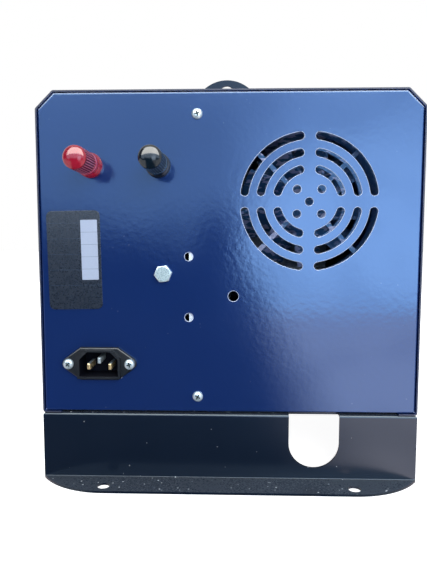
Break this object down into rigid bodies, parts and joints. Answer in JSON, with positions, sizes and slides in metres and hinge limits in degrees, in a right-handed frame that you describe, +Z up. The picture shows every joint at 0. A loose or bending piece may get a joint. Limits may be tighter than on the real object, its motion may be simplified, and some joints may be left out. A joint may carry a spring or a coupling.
{
  "type": "diesel air heater",
  "caption": "Portable diesel air heater in a blue steel case on a black flanged base, with intake grille, binding posts, mains inlet, fuel tank, control panel, handle and swivelling outlet.",
  "frame": {"origin": "midway between the four floor bolts, on the underside of the mounting flanges", "axes": "+X to the right of someone facing the rear panel with the grille, +Y from the rear panel to the front panel, +Z up"},
  "size_m": [0.2454, 0.4722, 0.276],
  "materials": {
    "navy_paint": "high-gloss powder coat",
    "black_paint": "satin powder coat",
    "zinc_sheet": "zinc-plated sheet",
    "zinc_hardware": "bright zinc plating",
    "steel": "plain steel",
    "stainless": "stainless steel",
    "cast_aluminium": "as cast",
    "brass_pins": "nickel-tinted brass",
    "matte_black_plastic": "fine texture",
    "gloss_black_plastic": "polished",
    "gloss_red_plastic": "polished",
    "tank_plastic": "translucent blow-moulded polyethylene",
    "fuel_hose": "black fuel hose",
    "lead_insulation": "soft insulation",
    "black_rubber": "moulded rubber",
    "handle_rubber": "ribbed grip rubber",
    "plate_film": "printed film, bare of text",
    "window_glass": "tinted window"
  },
  "bodies": {
    "case": {"base_tray": "black_paint", "blower_motor": "steel", "burner_head": "cast_aluminium", "case_cover": "navy_paint", "case_screws": "zinc_hardware", "combustion_air_pipe": "stainless", "control_panel": "matte_black_plastic", "display_window": "window_glass", "dosing_pump": "steel", "dosing_pump_bolt": "zinc_hardware", "dosing_pump_buffer": "black_rubber", "dosing_pump_clip": "zinc_sheet", "exhaust_pipe": "stainless", "filler_grommet": "black_rubber", "flame_tube": "stainless", "front_panel": "navy_paint", "fuel_lines": "fuel_hose", "fuel_tank": "tank_plastic", "glow_plug": "steel", "handle_lug_screws": "zinc_hardware", "handle_lugs": "black_paint", "heat_exchanger": "cast_aluminium", "heater_bolts": "zinc_hardware", "heater_control_unit": "matte_black_plastic", "heater_foot_gasket": "black_rubber", "heater_lower_shell": "matte_black_plastic", "heater_shelf": "zinc_sheet", "heater_upper_shell": "matte_black_plastic", "intake_guard": "matte_black_plastic", "mains_inlet": "matte_black_plastic", "mains_inlet_nuts": "zinc_hardware", "mains_inlet_pins": "brass_pins", "mains_inlet_screws": "zinc_hardware", "outlet_duct": "matte_black_plastic", "partition": "zinc_sheet", "pipe_clamps": "stainless", "post_bushes": "matte_black_plastic", "post_nuts": "zinc_hardware", "post_studs": "brass_pins", "power_supply": "cast_aluminium", "rating_plate": "plate_film", "rear_panel": "navy_paint", "tank_shelf": "zinc_sheet", "wiring_harness": "lead_insulation"},
    "handle": {"handle_bar": "stainless", "handle_grip": "handle_rubber"},
    "red_clamp": {"red_post_collar": "gloss_red_plastic"},
    "red_knob": {"red_post_knob": "gloss_red_plastic"},
    "black_clamp": {"black_post_collar": "gloss_black_plastic"},
    "black_knob": {"black_post_knob": "gloss_black_plastic"},
    "blower": {"air_impeller": "matte_black_plastic", "blower_shaft": "steel", "combustion_impeller": "cast_aluminium"},
    "cap_seal": {"fuel_cap_seal": "black_rubber"},
    "cap": {"fuel_cap": "matte_black_plastic"},
    "plunger": {"dosing_pump_plunger": "steel"},
    "outlet": {"swivel_outlet": "matte_black_plastic"},
    "power_key": {"power_button": "gloss_black_plastic"},
    "warmer_key": {"warmer_button": "gloss_black_plastic"},
    "cooler_key": {"cooler_button": "gloss_black_plastic"}
  },
  "joints": [
    {"name": "handle_fold", "type": "hinge", "parent": "case", "child": "handle", "pos_m": [-0.00175, -0.011, 0.26375], "axis": [0, -1, 0], "range_deg": [0, 180]},
    {"name": "red_clamp_slide", "type": "slide", "parent": "case", "child": "red_clamp", "axis": [0, -1, 0], "range_m": [0, 0.00401]},
    {"name": "red_knob_turn", "type": "hinge", "parent": "red_clamp", "child": "red_knob", "pos_m": [-0.0879, -0.22, 0.2056], "axis": [0, -1, 0], "range_deg": [0, 1440]},
    {"name": "black_clamp_slide", "type": "slide", "parent": "case", "child": "black_clamp", "axis": [0, -1, 0], "range_m": [0, 0.00401]},
    {"name": "black_knob_turn", "type": "hinge", "parent": "black_clamp", "child": "black_knob", "pos_m": [-0.0448, -0.22, 0.2056], "axis": [0, -1, 0], "range_deg": [0, 1440]},
    {"name": "blower_spin", "type": "hinge", "parent": "case", "child": "blower", "pos_m": [0.0508, -0.1, 0.1828], "axis": [0, 1, 0], "continuous": true},
    {"name": "cap_lift", "type": "slide", "parent": "case", "child": "cap_seal", "axis": [0, 0, 1], "range_m": [0, 0.00601]},
    {"name": "cap_turn", "type": "hinge", "parent": "cap_seal", "child": "cap", "pos_m": [-0.0684, 0.145, 0.27], "axis": [0, 0, 1], "range_deg": [0, 720]},
    {"name": "plunger_stroke", "type": "slide", "parent": "case", "child": "plunger", "axis": [0, 0, 1], "range_m": [0, 0.002], "stiffness_N_per_m": 600, "springref_m": -0.002},
    {"name": "outlet_turn", "type": "hinge", "parent": "case", "child": "outlet", "pos_m": [0.0508, 0.22, 0.1828], "axis": [0, 1, 0], "continuous": true},
    {"name": "power_press", "type": "slide", "parent": "case", "child": "power_key", "axis": [0, -1, 0], "range_m": [0, 0.0008], "stiffness_N_per_m": 800, "springref_m": -0.0008},
    {"name": "warmer_press", "type": "slide", "parent": "case", "child": "warmer_key", "axis": [0, -1, 0], "range_m": [0, 0.0008], "stiffness_N_per_m": 800, "springref_m": -0.0008},
    {"name": "cooler_press", "type": "slide", "parent": "case", "child": "cooler_key", "axis": [0, -1, 0], "range_m": [0, 0.0008], "stiffness_N_per_m": 800, "springref_m": -0.0008}
  ],
  "couplings": [
    {"joint": "red_clamp_slide", "follows": "red_knob_turn", "m_per_rad": 0.00015915},
    {"joint": "black_clamp_slide", "follows": "black_knob_turn", "m_per_rad": 0.00015915},
    {"joint": "cap_lift", "follows": "cap_turn", "m_per_rad": 0.00047746}
  ]
}
